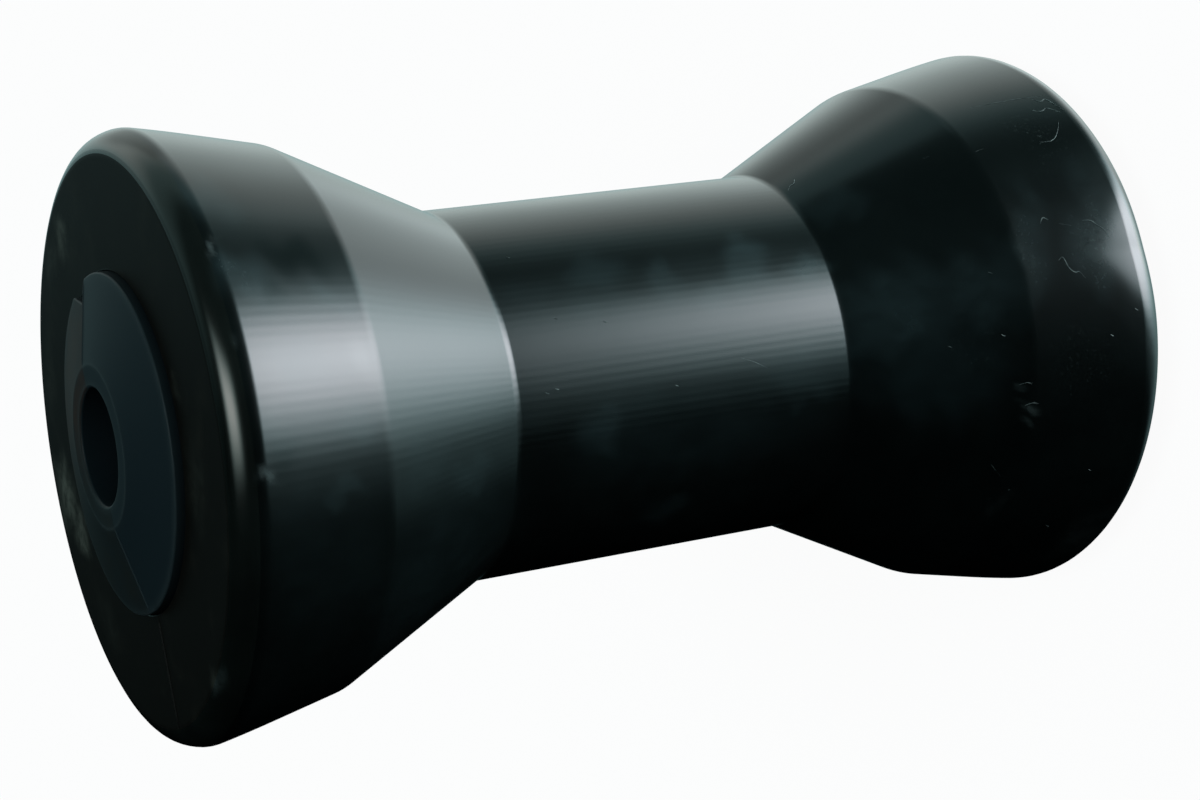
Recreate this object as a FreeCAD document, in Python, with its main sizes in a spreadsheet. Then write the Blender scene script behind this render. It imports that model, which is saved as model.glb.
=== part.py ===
"""Keel roller of a boat trailer: a black rubber moulding on a full-length plastic core.

The roller stands on the end land of its core. Its axis is Z, the origin is the centre of
that lower land, and the parting plane of the core's mould is the plane of X and Z.
Every length is in millimetres and every angle in degrees.
"""
import FreeCAD, Part
import os

import Sketcher

# Driving sizes of the roller. Each can be changed by itself.
SIZES = [
    ("rubber_length", 190.0, "rubber moulding from end face to end face"),
    ("barrel_diameter", 70.0, "straight middle, where the keel runs"),
    ("flank_length", 31.0, "barrel to flange edge, measured along the axis"),
    ("flank_angle", 26.2, "flank against the axis"),
    ("flange_width", 29.0, "flange edge to end face, measured along the axis"),
    ("flange_taper", 12.1, "flange against the axis, widest at the end face"),
    ("corner_round", 5.0, "radius between end face and flange"),
    ("flange_edge_round", 1.5, "radius between flange and flank"),
    ("hub_diameter", 61.0, "end disc of the core, flush with its seat in the rubber"),
    ("rim_proud", 1.6, "rim of the end disc above the rubber's end face"),
    ("land_proud", 5.0, "bearing land above the rubber's end face"),
    ("land_diameter", 29.2, "flat bearing land round the bore"),
    ("rim_break", 0.4, "broken edge of the end disc's rim"),
    ("bore_diameter", 21.0, "through bore for the spindle"),
    ("bore_break", 0.6, "broken edge at each mouth of the bore"),
    ("disc_depth", 9.0, "end disc sunk into the rubber, at its rim"),
    ("disc_back", 8.0, "length of the cone behind the end disc"),
    ("tube_diameter", 39.0, "tube of the core between its end discs"),
    ("gap_reach", 4.6, "short-moulded corner of the upper disc, from its rim along the parting plane"),
    ("gap_length", 11.5, "short-moulded corner, from the parting plane to its tip, just past the rim"),
    ("gap_sink", 1.5, "floor of the short corner below the rubber's end face"),
]

# Heights above the roller's mid plane and radii, from the driving sizes.
OVERALL_HALF = "Sizes.rubber_length / 2 + Sizes.land_proud"
END_HALF = "Sizes.rubber_length / 2"
RIM_HALF = "Sizes.rubber_length / 2 + Sizes.rim_proud"
FLANGE_HALF = "Sizes.rubber_length / 2 - Sizes.flange_width"
BARREL_HALF = "Sizes.rubber_length / 2 - Sizes.flange_width - Sizes.flank_length"
DISC_HALF = "Sizes.rubber_length / 2 - Sizes.disc_depth"
TUBE_HALF = "Sizes.rubber_length / 2 - Sizes.disc_depth - Sizes.disc_back"
BARREL_RADIUS = "Sizes.barrel_diameter / 2"
EDGE_RADIUS = BARREL_RADIUS + " + Sizes.flank_length * tan(Sizes.flank_angle)"
END_RADIUS = EDGE_RADIUS + " + Sizes.flange_width * tan(Sizes.flange_taper)"
HUB_RADIUS = "Sizes.hub_diameter / 2"
TUBE_RADIUS = "Sizes.tube_diameter / 2"
BORE_RADIUS = "Sizes.bore_diameter / 2"
LAND_RADIUS = "Sizes.land_diameter / 2"
CONE_SLOPE = "(Sizes.land_proud - Sizes.rim_proud) / (Sizes.hub_diameter / 2 - Sizes.land_diameter / 2)"
GAP_INNER = HUB_RADIUS + " - Sizes.gap_reach"
GAP_OUTER = HUB_RADIUS + " + Sizes.gap_reach"
GAP_FLOOR = "Sizes.rubber_length / 2 - Sizes.gap_sink"

# A sketch's own origin point and horizontal axis, and how closely sizes must agree.
ORIGIN_POINT = (-1, 1)
H_AXIS = (-1,)
CLOSE = 1e-4


def make_sheet(doc):
    """The spreadsheet of driving sizes: name, value and meaning on each row."""
    sheet = doc.addObject("Spreadsheet::Sheet", "Sizes")
    for row, (alias, value, meaning) in enumerate(SIZES, start=1):
        sheet.set("A%d" % row, alias)
        sheet.set("B%d" % row, str(value))
        sheet.set("C%d" % row, meaning)
        sheet.setAlias("B%d" % row, alias)
    doc.recompute()
    return sheet


def size_of(sheet, expression):
    """The value of an expression in the sheet's names, as a first guess for a sketch."""
    probe = sheet.evalExpression(expression.replace("Sizes.", ""))
    return float(getattr(probe, "Value", probe))


def origin_plane(body, role):
    """The body's own origin plane of the given role, such as XZ_Plane."""
    for feature in body.Origin.OriginFeatures:
        if feature.Role == role:
            return feature
    raise ValueError("no origin plane %s" % role)


def make_body(doc, name):
    """A body whose mid plane is lifted so that the roller's lowest land lies at Z = 0."""
    body = doc.addObject("PartDesign::Body", name)
    body.Label = name
    body.setExpression("Placement.Base.z", OVERALL_HALF)
    return body


def new_sketch(body, name, role):
    """A sketch on one of the body's origin planes."""
    sketch = body.newObject("Sketcher::SketchObject", name)
    sketch.AttachmentSupport = [(origin_plane(body, role), "")]
    sketch.MapMode = "FlatFace"
    return sketch


def turned_section(sheet, sketch, upper):
    """Draws a closed section that is its own mirror image in the roller's mid plane.

    upper lists the corners of the half above the mid plane, in order round the section,
    as (name, radius expression, height expression). Each gets its radius and its height
    from the sheet, and each corner below is tied to its twin above by symmetry.
    """
    above = [(size_of(sheet, r), size_of(sheet, z)) for _, r, z in upper]
    below = [(r, -z) for r, z in reversed(above)]
    corners = [FreeCAD.Vector(r, z, 0) for r, z in above + below]
    count = len(corners)
    for i in range(count):
        sketch.addGeometry(Part.LineSegment(corners[i], corners[(i + 1) % count]), False)
    for i in range(count):
        sketch.addConstraint(Sketcher.Constraint("Coincident", i, 2, (i + 1) % count, 1))
    for i, (name, radius, height) in enumerate(upper):
        r, z = above[i]
        index = sketch.addConstraint(Sketcher.Constraint("DistanceX", *ORIGIN_POINT, i, 1, r))
        sketch.renameConstraint(index, name + "_radius")
        sketch.setExpression("Constraints.%s_radius" % name, radius)
        index = sketch.addConstraint(Sketcher.Constraint("DistanceY", *ORIGIN_POINT, i, 1, z))
        sketch.renameConstraint(index, name + "_height")
        sketch.setExpression("Constraints.%s_height" % name, height)
        sketch.addConstraint(Sketcher.Constraint("Symmetric", i, 1, count - 1 - i, 1, *H_AXIS))


def revolve(body, sketch, name):
    """Turns a section a full turn about the roller's axis."""
    turned = body.newObject("PartDesign::Revolution", name)
    turned.Profile = sketch
    turned.ReferenceAxis = (sketch, ["V_Axis"])
    turned.Angle = 360.0
    sketch.Visibility = False
    return turned


def circles_at(shape, radius, height):
    """Names of the full circles of that radius at that height, above and below the mid plane."""
    names = []
    for number, edge in enumerate(shape.Edges, start=1):
        curve = edge.Curve
        if not isinstance(curve, Part.Circle) or abs(curve.Radius - radius) > CLOSE:
            continue
        if abs(abs(curve.Center.z) - height) < CLOSE:
            names.append("Edge%d" % number)
    if len(names) != 2:
        raise ValueError("expected two circles of radius %.3f, found %d" % (radius, len(names)))
    return names


def round_edges(doc, body, base, name, radius, height):
    """A fillet of the size called name on the circle at that radius and height, and on its twin."""
    fillet = body.newObject("PartDesign::Fillet", name)
    fillet.Base = (base, circles_at(base.Shape, radius, height))
    fillet.setExpression("Radius", "Sizes." + name)
    doc.recompute()
    return fillet


def make_rubber(doc, sheet):
    """The rubber: two tapered flanges, two flanks and a straight barrel, hollow for the core."""
    body = make_body(doc, "rubber_body")
    sketch = new_sketch(body, "rubber_section", "XZ_Plane")
    turned_section(sheet, sketch, [
        ("tube", TUBE_RADIUS, TUBE_HALF),
        ("disc_back", HUB_RADIUS, DISC_HALF),
        ("seat_mouth", HUB_RADIUS, END_HALF),
        ("end_corner", END_RADIUS, END_HALF),
        ("flange_edge", EDGE_RADIUS, FLANGE_HALF),
        ("barrel", BARREL_RADIUS, BARREL_HALF),
    ])
    blank = revolve(body, sketch, "rubber_blank")
    doc.recompute()
    edge = (size_of(sheet, EDGE_RADIUS), size_of(sheet, FLANGE_HALF))
    soft = round_edges(doc, body, blank, "flange_edge_round", *edge)
    corner = (size_of(sheet, END_RADIUS), size_of(sheet, END_HALF))
    round_edges(doc, body, soft, "corner_round", *corner)
    return body


def gap_outline(sheet, sketch):
    """The triangle cut from the disc: along the parting plane, and along the broken edge."""
    corners = [
        ("inner", GAP_INNER, None),
        ("tip", HUB_RADIUS, "Sizes.gap_length"),
        ("outer", GAP_OUTER, None),
    ]
    values = [(size_of(sheet, x), size_of(sheet, y) if y else 0.0) for _, x, y in corners]
    points = [FreeCAD.Vector(-x, -y, 0) for x, y in values]
    count = len(corners)
    for i in range(count):
        sketch.addGeometry(Part.LineSegment(points[i], points[(i + 1) % count]), False)
    for i in range(count):
        sketch.addConstraint(Sketcher.Constraint("Coincident", i, 2, (i + 1) % count, 1))
    for i, (name, reach, length) in enumerate(corners):
        x, y = values[i]
        index = sketch.addConstraint(Sketcher.Constraint("DistanceX", i, 1, *ORIGIN_POINT, x))
        sketch.renameConstraint(index, name + "_reach")
        sketch.setExpression("Constraints.%s_reach" % name, reach)
        if length is None:
            sketch.addConstraint(Sketcher.Constraint("PointOnObject", i, 1, *H_AXIS))
            continue
        index = sketch.addConstraint(Sketcher.Constraint("DistanceY", i, 1, *ORIGIN_POINT, y))
        sketch.renameConstraint(index, name + "_length")
        sketch.setExpression("Constraints.%s_length" % name, length)


def cut_gap(doc, sheet, body, base):
    """The short-moulded corner of the upper disc, cut from a little below the rubber's end face."""
    sketch = new_sketch(body, "gap_section", "XY_Plane")
    sketch.setExpression("AttachmentOffset.Base.z", GAP_FLOOR)
    gap_outline(sheet, sketch)
    pocket = body.newObject("PartDesign::Pocket", "short_corner")
    pocket.Profile = sketch
    pocket.Type = "Length"
    pocket.setExpression("Length", "Sizes.gap_sink + Sizes.land_proud")
    pocket.Reversed = True
    sketch.Visibility = False
    doc.recompute()
    if pocket.Shape.Volume > base.Shape.Volume - CLOSE:
        raise ValueError("the gap cuts nothing")
    return pocket


def make_core(doc, sheet):
    """The core: end discs with coned faces and bearing lands on a tube, bored right through."""
    body = make_body(doc, "plastic_core")
    sketch = new_sketch(body, "core_section", "YZ_Plane")
    turned_section(sheet, sketch, [
        ("bore", BORE_RADIUS, OVERALL_HALF + " - Sizes.bore_break"),
        ("mouth", BORE_RADIUS + " + Sizes.bore_break", OVERALL_HALF),
        ("land", LAND_RADIUS, OVERALL_HALF),
        ("cone_foot", HUB_RADIUS + " - Sizes.rim_break", RIM_HALF + " + Sizes.rim_break * " + CONE_SLOPE),
        ("rim", HUB_RADIUS, RIM_HALF + " - Sizes.rim_break"),
        ("disc_back", HUB_RADIUS, DISC_HALF),
        ("tube", TUBE_RADIUS, TUBE_HALF),
    ])
    blank = revolve(body, sketch, "core_blank")
    doc.recompute()
    cut_gap(doc, sheet, body, blank)
    return body


def check(doc, bodies):
    """Stops if anything in the document failed, or if a body is not one sound solid."""
    for thing in doc.Objects:
        if "Invalid" in thing.State or "Error" in thing.State:
            raise RuntimeError("%s failed: %s" % (thing.Name, thing.State))
    for body in bodies:
        shape = body.Shape
        if shape.isNull() or not shape.isValid() or len(shape.Solids) != 1:
            raise RuntimeError("%s is not one sound solid" % body.Label)


def main():
    doc = FreeCAD.newDocument("keel_roller")
    sheet = make_sheet(doc)
    bodies = [make_rubber(doc, sheet), make_core(doc, sheet)]
    doc.recompute()
    check(doc, bodies)
    os.makedirs("parts", exist_ok=True)
    for body in bodies:
        body.Shape.exportStep("parts/%s.step" % body.Label)
        box = body.Shape.BoundBox
        print("%s: volume %.1f mm3, X %.2f Y %.2f Z %.2f to %.2f"
              % (body.Label, body.Shape.Volume, box.XLength, box.YLength, box.ZMin, box.ZMax))


main()
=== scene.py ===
"""Looks of a boat trailer's keel roller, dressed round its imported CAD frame.

Everything is in metres in the frame of the CAD model: the roller stands on the end land of
its core, its axis is Z, and the parting plane of its moulds is the plane of X and Z. Angles
round the axis are turned from +X towards +Y.
"""
from __future__ import annotations

import logging
import math
from dataclasses import dataclass
from enum import Enum

import bpy
import numpy as np
from mathutils import Matrix, Vector


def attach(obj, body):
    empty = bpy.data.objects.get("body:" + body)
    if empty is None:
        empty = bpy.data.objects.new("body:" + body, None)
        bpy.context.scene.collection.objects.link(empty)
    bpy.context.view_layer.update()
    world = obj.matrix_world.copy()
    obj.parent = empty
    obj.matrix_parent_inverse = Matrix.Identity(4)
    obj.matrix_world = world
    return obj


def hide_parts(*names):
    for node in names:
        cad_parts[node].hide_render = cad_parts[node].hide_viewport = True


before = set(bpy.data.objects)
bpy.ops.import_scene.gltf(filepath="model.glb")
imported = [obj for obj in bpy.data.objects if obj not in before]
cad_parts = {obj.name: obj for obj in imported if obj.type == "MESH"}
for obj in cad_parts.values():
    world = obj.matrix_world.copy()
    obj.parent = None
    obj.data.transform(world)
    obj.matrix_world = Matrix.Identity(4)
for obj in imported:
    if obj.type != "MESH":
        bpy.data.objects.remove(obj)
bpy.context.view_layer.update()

LOG = logging.getLogger("keel_roller")
MM = 0.001
CRISP_BEYOND = 28.0  # degrees between a face and the surface, past which its edges are crisp
CLOSING_STEP = 2.0  # mm of the unrolled way for the step that closes a section
TINY = 1e-15
Array = np.ndarray
Socket = bpy.types.NodeSocket
Pair = tuple[float, float]
Triple = tuple[float, float, float]


@dataclass(frozen=True)
class Corner:
    """A corner of a turned profile: radius and height in mm, and the radius of its round."""

    r: float
    z: float
    round: float = 0.0
    steps: int = 2


@dataclass(frozen=True)
class Profile:
    """A closed turned profile as stations in mm: radius, height, outward normal, way along."""

    r: Array
    z: Array
    nr: Array
    nz: Array
    along: Array


def unit(vectors: Array) -> Array:
    """The vectors along the last axis, each scaled to length 1."""
    return vectors / np.maximum(np.linalg.norm(vectors, axis=-1, keepdims=True), TINY)


def bell(x: Array, centre: float, width: float) -> Array:
    """exp(-((x - centre) / width)^2), a smooth bump of height 1."""
    return np.exp(-(((x - centre) / width) ** 2))


def wrap(degrees: Array) -> Array:
    """Turns in degrees, brought to -180 to 180."""
    return np.mod(degrees + 180.0, 360.0) - 180.0


def smooth(part: Array) -> Array:
    """part^2 (3 - 2 part), which leaves 0 and reaches 1 without a kink."""
    return part * part * (3.0 - 2.0 * part)


def spread(length: float, step: float) -> Array:
    """Fractions 0 to just under 1 that cut a straight run into equal steps.

    Args:
        length: length of the run in mm.
        step: longest step wanted in mm.

    Returns:
        The fractions, the first of them 0.
    """
    count = max(1, int(math.ceil(length / step)))
    return np.arange(count) / count


def turned_profile(corners: list[Corner], steps: list[float]) -> Profile:
    """Closed profile through rounded corners, taken clockwise in the plane of radius and height.

    A round of radius q between two runs that meet at a turn t starts q * tan(t / 2) before
    the corner. Its points are the centre plus q times a unit normal that swings evenly from
    the first run's normal to the second's. The outward normal of a run along (dr, dz) is
    (-dz, dr) for this sense of travel.

    Args:
        corners: the corners in order, the last joined to the first.
        steps: the longest step in mm on the run that leaves each corner.

    Returns:
        The stations of the profile.
    """
    points = np.array([[c.r, c.z] for c in corners])
    ways = unit(np.roll(points, -1, axis=0) - points)
    normals = np.stack([-ways[:, 1], ways[:, 0]], axis=1)
    starts, ends, arcs = [], [], []
    for i, corner in enumerate(corners):
        before, after = normals[i - 1], normals[i]
        turn = math.atan2(before[0] * after[1] - before[1] * after[0], float(before @ after))
        back = corner.round * abs(math.tan(turn / 2))
        starts.append(points[i] + back * ways[i])
        ends.append(points[i] - back * ways[i - 1])
        part = np.linspace(0.0, 1.0, max(2, corner.steps + 1))[:, None]
        angle = math.atan2(before[1], before[0]) + turn * part
        swing = np.concatenate([np.cos(angle), np.sin(angle)], axis=1)
        side = 1.0 if turn < 0 else -1.0
        centre = ends[-1] - side * corner.round * before
        points_on = centre + side * corner.round * swing
        arcs.append((points_on, swing) if corner.round else None)
    stations, facing = [], []
    for i in range(len(corners)):
        if arcs[i] is not None:
            stations.append(arcs[i][0][:-1])
            facing.append(arcs[i][1][:-1])
        target = ends[(i + 1) % len(corners)]
        run = target - starts[i]
        part = spread(float(np.linalg.norm(run)), steps[i])[:, None]
        stations.append(starts[i] + run * part)
        facing.append(np.repeat(normals[i][None], len(part), axis=0))
    path, normal = np.concatenate(stations), np.concatenate(facing)
    gaps = np.linalg.norm(np.diff(path, axis=0), axis=1)
    along = np.concatenate([[0.0], np.cumsum(gaps)])
    return Profile(path[:, 0], path[:, 1], normal[:, 0], normal[:, 1], along)


def turning_angles(
    count: int, close_to: tuple[float, ...], reach: float = 1.2, extra: int = 25
) -> Array:
    """Angles round the axis in radians: even, and closer together near named places.

    Args:
        count: number of evenly spread angles.
        close_to: places in degrees that get more angles.
        reach: how far either side of a place in degrees they are added.
        extra: how many are added at each place.

    Returns:
        The sorted angles from 0 to just under a full turn.
    """
    even = np.arange(count) * (360.0 / count)
    near = [place + np.linspace(-reach, reach, extra) for place in close_to]
    every = np.sort(np.mod(np.concatenate([even, *near]), 360.0))
    apart = 0.02
    keep = np.diff(every, prepend=every[-1] - 360.0) > apart
    return np.radians(every[keep])


def round_trip_mesh(name: str, points: Array, normals: Array, uv: Array) -> bpy.types.Mesh:
    """Mesh of a grid that closes on itself both ways, as a turned ring does.

    Face (i, j) joins rows i and i + 1 and columns j and j + 1, both counted round. A corner
    of a face takes the grid's normal where that lies close enough to the face's own,
    and the face's own normal elsewhere, so rounds are smooth and steps are crisp.

    Args:
        name: the mesh's name.
        points: (rows, columns, 3) positions in metres.
        normals: (rows, columns, 3) unit normals that point outwards.
        uv: (rows + 1, columns + 1, 2) turn and way along, unrolled.

    Returns:
        The mesh, with smooth shading and its own corner normals.
    """
    rows, columns = points.shape[:2]
    i, j = np.meshgrid(np.arange(rows), np.arange(columns), indexing="ij")
    down, right = (i + 1) % rows, (j + 1) % columns
    here, below = i * columns, down * columns
    corner = np.stack([here + j, here + right, below + right, below + j], axis=-1).reshape(-1, 4)
    flat, outward = points.reshape(-1, 3), normals.reshape(-1, 3)
    first = flat[corner[:, 2]] - flat[corner[:, 0]]
    second = flat[corner[:, 3]] - flat[corner[:, 1]]
    own, order = unit(np.cross(first, second)), np.arange(4)
    if float((own * outward[corner[:, 0]]).sum(1).mean()) < 0:
        corner, own, order = corner[:, ::-1], -own, order[::-1]
    mesh = bpy.data.meshes.new(name)
    mesh.vertices.add(len(flat))
    mesh.vertices.foreach_set("co", flat.astype(np.float32).ravel())
    mesh.loops.add(corner.size)
    mesh.loops.foreach_set("vertex_index", corner.astype(np.int32).ravel())
    mesh.polygons.add(len(corner))
    mesh.polygons.foreach_set("loop_start", np.arange(0, corner.size, 4, dtype=np.int32))
    mesh.update(calc_edges=True)
    step_i = np.array([0, 0, 1, 1])[order]
    step_j = np.array([0, 1, 1, 0])[order]
    rows_of = i.reshape(-1, 1) + step_i[None]
    columns_of = j.reshape(-1, 1) + step_j[None]
    layer = mesh.uv_layers.new(name="unrolled")
    layer.data.foreach_set("uv", uv[rows_of, columns_of].astype(np.float32).ravel())
    mesh.polygons.foreach_set("use_smooth", np.ones(len(corner), dtype=bool))
    taken = outward[corner]
    close = math.cos(math.radians(CRISP_BEYOND))
    agrees = (taken * own[:, None]).sum(-1, keepdims=True) > close
    shown = np.where(agrees, taken, own[:, None])
    mesh.normals_split_custom_set(shown.reshape(-1, 3).tolist())
    mesh.validate()
    return mesh


def put_attribute(mesh: bpy.types.Mesh, name: str, values: Array) -> None:
    """Stores one number a vertex under a name that a material can read."""
    layer = mesh.attributes.new(name, "FLOAT", "POINT")
    layer.data.foreach_set("value", values.astype(np.float32).ravel())


def lean_with(normals: Array, plain: Array, moved: Array) -> Array:
    """Unit normals that lean as a surface's displacement does.

    Each grid's own normal is the cross product of its central differences both ways; the
    difference between the moved grid's and the plain grid's is added to the exact normal.

    Args:
        normals: exact unit normals of the plain surface.
        plain: its positions.
        moved: the displaced positions.

    Returns:
        The leaning unit normals.
    """
    found = []
    for grid in (plain, moved):
        down = np.roll(grid, -1, axis=0) - np.roll(grid, 1, axis=0)
        across = np.roll(grid, -1, axis=1) - np.roll(grid, 1, axis=1)
        cross = unit(np.cross(across, down))
        found.append(cross * np.sign((cross * normals).sum(-1, keepdims=True)))
    return unit(normals + found[1] - found[0])


def turned_mesh(
    name: str,
    angle: Array,
    section: tuple[Array, Array, Array, Array],
    raised: Array,
    along: Array,
    top: float,
) -> bpy.types.Mesh:
    """Closed mesh of a section turned round the axis and raised along its own normals.

    A point is (r cos a, r sin a, z) plus raised times its normal, with its height kept
    between 0 and top. The shown normals lean with what is raised.

    Args:
        name: the mesh's name.
        angle: angles round the axis in radians, one a column.
        section: radius, height and the normal's two parts, (rows, 1) or (rows, columns).
        raised: (rows, columns) heights above the plain surface in mm.
        along: way along the section at each row in mm.
        top: the height that no point passes, in mm.

    Returns:
        The mesh.
    """
    r, z, nr, nz = section
    cos, sin = np.cos(angle)[None], np.sin(angle)[None]
    plain = np.stack([r * cos, r * sin, z + 0.0 * cos], axis=-1) * MM
    normals = unit(np.stack([nr * cos, nr * sin, nz + 0.0 * cos], axis=-1))
    points = plain + normals * (raised * MM)[..., None]
    points[..., 2] = np.clip(points[..., 2], 0.0, top * MM)
    turns = np.append(angle, 2 * math.pi) / (2 * math.pi)
    ways = np.append(along, along[-1] + CLOSING_STEP) * MM
    uv = np.stack(np.broadcast_arrays(turns[None], ways[:, None]), axis=-1)
    return round_trip_mesh(name, points, lean_with(normals, plain, points), uv)


class NodeSheet:
    """A node tree under construction, with one short method for each kind of step."""

    def __init__(self, tree: bpy.types.NodeTree) -> None:
        """Empties the tree and keeps it."""
        tree.nodes.clear()
        self.tree = tree

    def add(self, kind: str, **settings: object) -> bpy.types.Node:
        """Adds a node of that kind and sets the named properties on it."""
        node = self.tree.nodes.new(kind)
        for name, value in settings.items():
            setattr(node, name, value)
        return node

    def feed(self, socket: Socket, value: object) -> None:
        """Links a socket to a value's socket, or sets it where the value is a constant."""
        if isinstance(value, Socket):
            self.tree.links.new(value, socket)
        elif value is not None:
            socket.default_value = value

    def math(self, operation: str, a: object, b: object = None, clamp: bool = False) -> Socket:
        """One step of arithmetic on numbers."""
        node = self.add("ShaderNodeMath", operation=operation, use_clamp=clamp)
        self.feed(node.inputs[0], a)
        self.feed(node.inputs[1], b)
        return node.outputs[0]

    def times(self, first: object, *others: object) -> Socket:
        """Product of numbers, taken from left to right."""
        for other in others:
            first = self.math("MULTIPLY", first, other)
        return first

    def dot(self, vector: Socket, fixed: Triple) -> Socket:
        """Dot product of a vector with a fixed one."""
        node = self.add("ShaderNodeVectorMath", operation="DOT_PRODUCT")
        self.feed(node.inputs[0], vector)
        node.inputs[1].default_value = fixed
        return node.outputs["Value"]

    def ease(self, value: object, low: float, high: float, out: Pair = (0.0, 1.0)) -> Socket:
        """Smooth step of a number: out[0] below low, out[1] above high."""
        node = self.add("ShaderNodeMapRange", interpolation_type="SMOOTHSTEP")
        self.feed(node.inputs[0], value)
        for index, number in enumerate((low, high, *out), start=1):
            node.inputs[index].default_value = number
        return node.outputs[0]

    def mix(self, factor: object, a: object, b: object) -> Socket:
        """Mix of two colours, all of b where the factor is 1."""
        node = self.add("ShaderNodeMix", data_type="RGBA")
        self.feed(node.inputs[0], factor)
        for index, colour in ((6, a), (7, b)):
            self.feed(node.inputs[index], colour if isinstance(colour, Socket) else (*colour, 1.0))
        return node.outputs[2]

    def blend(self, factor: object, a: Socket, b: Socket) -> Socket:
        """Mix of two shaders, all of b where the factor is 1."""
        node = self.add("ShaderNodeMixShader")
        for index, value in enumerate((factor, a, b)):
            self.feed(node.inputs[index], value)
        return node.outputs[0]

    def noise(self, vector: Socket, scale: float, detail: float, roughness: float) -> Socket:
        """Soft noise from 0 to 1 at that many waves a metre."""
        node = self.add("ShaderNodeTexNoise")
        self.feed(node.inputs["Vector"], vector)
        node.inputs["Scale"].default_value = scale
        node.inputs["Detail"].default_value = detail
        node.inputs["Roughness"].default_value = roughness
        return node.outputs["Fac"]

    def attribute(self, name: str) -> Socket:
        """A number stored on the mesh under that name."""
        return self.add("ShaderNodeAttribute", attribute_name=name).outputs["Fac"]

    def here(self) -> Socket:
        """Object coordinates of the shaded point."""
        return self.add("ShaderNodeTexCoord").outputs["Object"]

    def axes(self, vector: Socket) -> bpy.types.bpy_prop_collection:
        """The three parts of a vector."""
        node = self.add("ShaderNodeSeparateXYZ")
        self.feed(node.inputs[0], vector)
        return node.outputs

    def stretched(self, vector: Socket, squeeze: float) -> Socket:
        """Coordinates with their Z scaled, which draws a pattern out along the axis."""
        node = self.add("ShaderNodeMapping")
        node.inputs["Scale"].default_value = (1.0, 1.0, squeeze)
        self.feed(node.inputs["Vector"], vector)
        return node.outputs[0]

    def bump(
        self, height: Socket, strength: float, distance: float, under: Socket | None = None
    ) -> Socket:
        """Normal that leans with a height, on top of another such normal if one is given."""
        node = self.add("ShaderNodeBump")
        node.inputs["Strength"].default_value = strength
        node.inputs["Distance"].default_value = distance
        self.feed(node.inputs["Height"], height)
        self.feed(node.inputs["Normal"], under)
        return node.outputs[0]

    def end(self, shader: Socket, kind: str = "ShaderNodeOutputMaterial") -> None:
        """Ends the sheet in an output of that kind."""
        self.feed(self.add(kind).inputs["Surface"], shader)


def blank_material(name: str) -> tuple[bpy.types.Material, NodeSheet]:
    """A material with an empty sheet."""
    material = bpy.data.materials.new(name)
    material.use_nodes = True
    return material, NodeSheet(material.node_tree)


@dataclass(frozen=True)
class Pattern:
    """Soft noise of so many waves a metre, eased from out[0] below low to out[1] above high."""

    scale: float
    detail: float
    roughness: float
    low: float
    high: float
    out: Pair = (0.0, 1.0)

    def nodes(self, sheet: NodeSheet, vector: Socket, out: Pair | None = None) -> Socket:
        """The pattern at each place, between other values where they are given."""
        noise = sheet.noise(vector, self.scale, self.detail, self.roughness)
        return sheet.ease(noise, self.low, self.high, out or self.out)


@dataclass(frozen=True)
class PhotoView:
    """The camera of the photograph: its place, its lens, and its own right, up and back."""

    place: Triple = (0.0740735, 0.4200918, 0.3219775)
    right: Triple = (0.2219918, 0.4249324, -0.8775831)
    up: Triple = (-0.9643753, 0.2284934, -0.1333084)
    back: Triple = (0.1438749, 0.8759128, 0.4605180)
    lens: float = 74.465
    sensor: float = 36.0

    def build(self) -> bpy.types.Object:
        """Makes the scene's camera, which looks along the negative of back.

        Returns:
            The camera object.
        """
        data = bpy.data.cameras.new("photo_view")
        data.lens, data.sensor_width, data.sensor_fit = self.lens, self.sensor, "HORIZONTAL"
        data.clip_start, data.clip_end = 0.01, 50.0
        camera = bpy.data.objects.new("photo_view", data)
        bpy.context.scene.collection.objects.link(camera)
        turned = Matrix((self.right, self.up, self.back)).transposed()
        camera.matrix_world = Matrix.Translation(Vector(self.place)) @ turned.to_4x4()
        bpy.context.scene.camera = camera
        return camera


@dataclass(frozen=True)
class SoftBox:
    """A soft-edged patch of light in the studio's sky, in degrees of the photo's own directions.

    Azimuth 0 is towards the camera and 90 is to the photo's right. Each edge is the angle
    where the light is half as strong, and its softness is half the width of the fade.
    """

    azimuth: Pair
    azimuth_soft: Pair
    elevation: Pair
    elevation_soft: Pair
    strength: float

    def nodes(self, sheet: NodeSheet, azimuth: Socket, elevation: Socket) -> Socket:
        """Strength of the box in the looked-at direction: the product of two fades in and out.

        Args:
            sheet: the world's nodes.
            azimuth: the direction's azimuth in degrees.
            elevation: its elevation in degrees.

        Returns:
            The box's radiance there.
        """
        value: object = self.strength
        sides = (
            (azimuth, self.azimuth, self.azimuth_soft),
            (elevation, self.elevation, self.elevation_soft),
        )
        for angle, (start, end), (soft_in, soft_out) in sides:
            rise = sheet.ease(angle, start - soft_in, start + soft_in)
            fall = sheet.ease(angle, end - soft_out, end + soft_out, (1.0, 0.0))
            value = sheet.times(value, sheet.times(rise, fall))
        return value


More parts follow.
